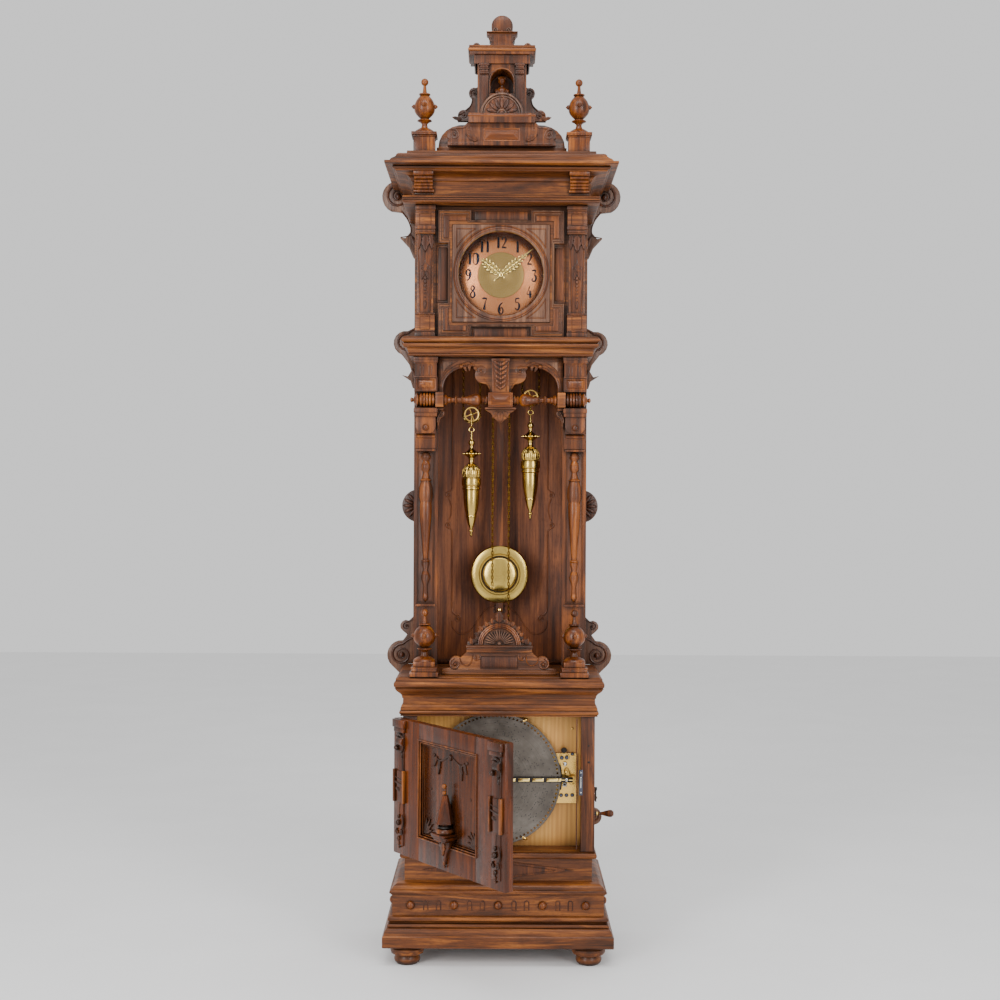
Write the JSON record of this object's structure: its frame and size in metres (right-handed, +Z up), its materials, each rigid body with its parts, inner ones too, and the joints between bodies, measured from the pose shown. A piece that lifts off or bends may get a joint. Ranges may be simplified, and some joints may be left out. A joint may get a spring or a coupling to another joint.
{
  "type": "longcase clock",
  "caption": "Tall carved wooden weight-driven clock with an open pendulum niche, a copper dial and a disc music box behind a hinged door in its base.",
  "frame": {"origin": "on the floor under the middle of the footprint, the open base door included", "axes": "+X to the clock's right as seen from the front, +Y towards the wall behind it, +Z up; the front faces -Y"},
  "size_m": [0.6684, 0.7544, 2.4939],
  "materials": {
    "walnut": "oiled and waxed, warm brown",
    "dark_walnut": "oiled, darker brown",
    "pine": "plain planed",
    "brass": "polished, slightly aged",
    "gilt_brass": "bright gilt",
    "copper": "brushed and lacquered copper",
    "steel": "rolled, dull",
    "black_iron": "blackened",
    "glass": "clear"
  },
  "bodies": {
    "case": {"plinth": "walnut", "base_carcass": "walnut", "base_cornice": "walnut", "waist_carcass": "walnut", "waist_stile_left": "walnut", "waist_stile_right": "walnut", "cross_rail": "walnut", "arch_frieze": "walnut", "niche_crest": "walnut", "hood_cornice": "walnut", "hood_carcass": "walnut", "hood_front": "walnut", "main_cornice": "walnut", "crown_dome": "walnut", "crown_tower": "walnut", "urn_lower_left": "walnut", "urn_lower_right": "walnut", "urn_upper_left": "walnut", "urn_upper_right": "walnut", "foot_front_left": "walnut", "foot_front_right": "walnut", "foot_rear_left": "walnut", "foot_rear_right": "walnut", "ear_hood_left": "dark_walnut", "ear_hood_right": "dark_walnut", "ear_shoulder_left": "dark_walnut", "ear_shoulder_right": "dark_walnut", "ear_foot_left": "dark_walnut", "ear_foot_right": "dark_walnut", "ear_base_left": "dark_walnut", "ear_base_right": "dark_walnut", "seat_board": "pine", "music_soundboard": "pine", "movement_frame": "brass", "dial": "copper", "gong": "steel", "bedplate": "brass"},
    "base_door_leaf": {"base_door": "walnut"},
    "dial_door_leaf": {"dial_door": "walnut", "dial_glass": "glass"},
    "hour_hand_body": {"hour_hand": "gilt_brass"},
    "minute_hand_body": {"minute_hand": "gilt_brass"},
    "left_weight_body": {"weight_left": "brass", "chain_loop_left": "brass"},
    "left_pulley_body": {"pulley_left": "brass"},
    "left_chain_end_body": {"chain_end_left": "brass"},
    "left_chain_wheel_body": {"chain_wheel_left": "brass"},
    "right_weight_body": {"weight_right": "brass", "chain_loop_right": "brass"},
    "right_pulley_body": {"pulley_right": "brass"},
    "right_chain_end_body": {"chain_end_right": "brass"},
    "right_chain_wheel_body": {"chain_wheel_right": "brass"},
    "pendulum_body": {"pendulum_rod": "walnut", "pendulum_bob": "brass"},
    "anchor_body": {"anchor": "steel"},
    "escape_wheel_body": {"escape_wheel": "brass"},
    "disc_body": {"music_disc": "steel"},
    "pressure_bar_body": {"pressure_bar": "gilt_brass"},
    "crank_body": {"winding_crank": "walnut"},
    "stop_lever_body": {"stop_lever": "black_iron"}
  },
  "joints": [
    {"name": "base_door_hinge", "type": "hinge", "parent": "case", "child": "base_door_leaf", "pos_m": [-0.253, 0.05399, 0.465], "axis": [0, 0, -1], "range_deg": [-55.4, 44.6]},
    {"name": "dial_door_hinge", "type": "hinge", "parent": "case", "child": "dial_door_leaf", "pos_m": [-0.1278, 0.08689, 1.8], "axis": [0, 0, -1], "range_deg": [0, 90]},
    {"name": "minute_hand_turn", "type": "hinge", "parent": "case", "child": "minute_hand_body", "pos_m": [0, 0.11369, 1.8], "axis": [0, 1, 0], "continuous": true},
    {"name": "hour_hand_turn", "type": "hinge", "parent": "case", "child": "hour_hand_body", "pos_m": [0, 0.11669, 1.8], "axis": [0, 1, 0], "continuous": true},
    {"name": "left_weight_fall", "type": "slide", "parent": "case", "child": "left_weight_body", "axis": [0, 0, 1], "range_m": [-0.24, 0.01]},
    {"name": "left_pulley_turn", "type": "hinge", "parent": "left_weight_body", "child": "left_pulley_body", "pos_m": [-0.0772, 0.18719, 1.435], "axis": [0, 1, 0], "continuous": true},
    {"name": "left_chain_end_rise", "type": "slide", "parent": "case", "child": "left_chain_end_body", "axis": [0, 0, 1], "range_m": [-0.02, 0.48]},
    {"name": "left_chain_wheel_turn", "type": "hinge", "parent": "case", "child": "left_chain_wheel_body", "pos_m": [-0.0375, 0.18719, 1.7], "axis": [0, 1, 0], "continuous": true},
    {"name": "right_weight_fall", "type": "slide", "parent": "case", "child": "right_weight_body", "axis": [0, 0, 1], "range_m": [-0.24, 0.01]},
    {"name": "right_pulley_turn", "type": "hinge", "parent": "right_weight_body", "child": "right_pulley_body", "pos_m": [0.0812, 0.18719, 1.482], "axis": [0, 1, 0], "continuous": true},
    {"name": "right_chain_end_rise", "type": "slide", "parent": "case", "child": "right_chain_end_body", "axis": [0, 0, 1], "range_m": [-0.02, 0.48]},
    {"name": "right_chain_wheel_turn", "type": "hinge", "parent": "case", "child": "right_chain_wheel_body", "pos_m": [0.0415, 0.18719, 1.7], "axis": [0, 1, 0], "continuous": true},
    {"name": "pendulum_swing", "type": "hinge", "parent": "case", "child": "pendulum_body", "pos_m": [0, 0.29319, 1.815], "axis": [0, 1, 0], "range_deg": [-4, 4]},
    {"name": "anchor_rock", "type": "hinge", "parent": "case", "child": "anchor_body", "pos_m": [0, 0.23569, 1.815], "axis": [0, 1, 0], "range_deg": [-4, 4]},
    {"name": "escape_wheel_turn", "type": "hinge", "parent": "case", "child": "escape_wheel_body", "pos_m": [0, 0.23569, 1.771], "axis": [0, 1, 0], "continuous": true},
    {"name": "disc_turn", "type": "hinge", "parent": "case", "child": "disc_body", "pos_m": [-0.01, 0.10719, 0.469], "axis": [0, 1, 0], "continuous": true},
    {"name": "pressure_bar_hinge", "type": "hinge", "parent": "case", "child": "pressure_bar_body", "pos_m": [-0.1965, 0.09869, 0.469], "axis": [0, 0, -1], "range_deg": [0, 50]},
    {"name": "crank_turn", "type": "hinge", "parent": "case", "child": "crank_body", "pos_m": [0.2503, 0.21719, 0.419], "axis": [1, 0, 0], "continuous": true},
    {"name": "stop_lever_turn", "type": "hinge", "parent": "case", "child": "stop_lever_body", "pos_m": [0.2503, 0.10519, 0.445], "axis": [1, 0, 0], "range_deg": [-20, 20]}
  ],
  "couplings": [
    {"joint": "hour_hand_turn", "follows": "minute_hand_turn", "ratio": 0.083333},
    {"joint": "left_pulley_turn", "follows": "left_weight_fall", "rad_per_m": -43.956},
    {"joint": "left_chain_end_rise", "follows": "left_weight_fall", "ratio": -2},
    {"joint": "left_chain_wheel_turn", "follows": "left_weight_fall", "rad_per_m": 117.99},
    {"joint": "right_pulley_turn", "follows": "right_weight_fall", "rad_per_m": 43.956},
    {"joint": "right_chain_end_rise", "follows": "right_weight_fall", "ratio": -2},
    {"joint": "right_chain_wheel_turn", "follows": "right_weight_fall", "rad_per_m": -117.99},
    {"joint": "anchor_rock", "follows": "pendulum_swing", "ratio": 1}
  ]
}
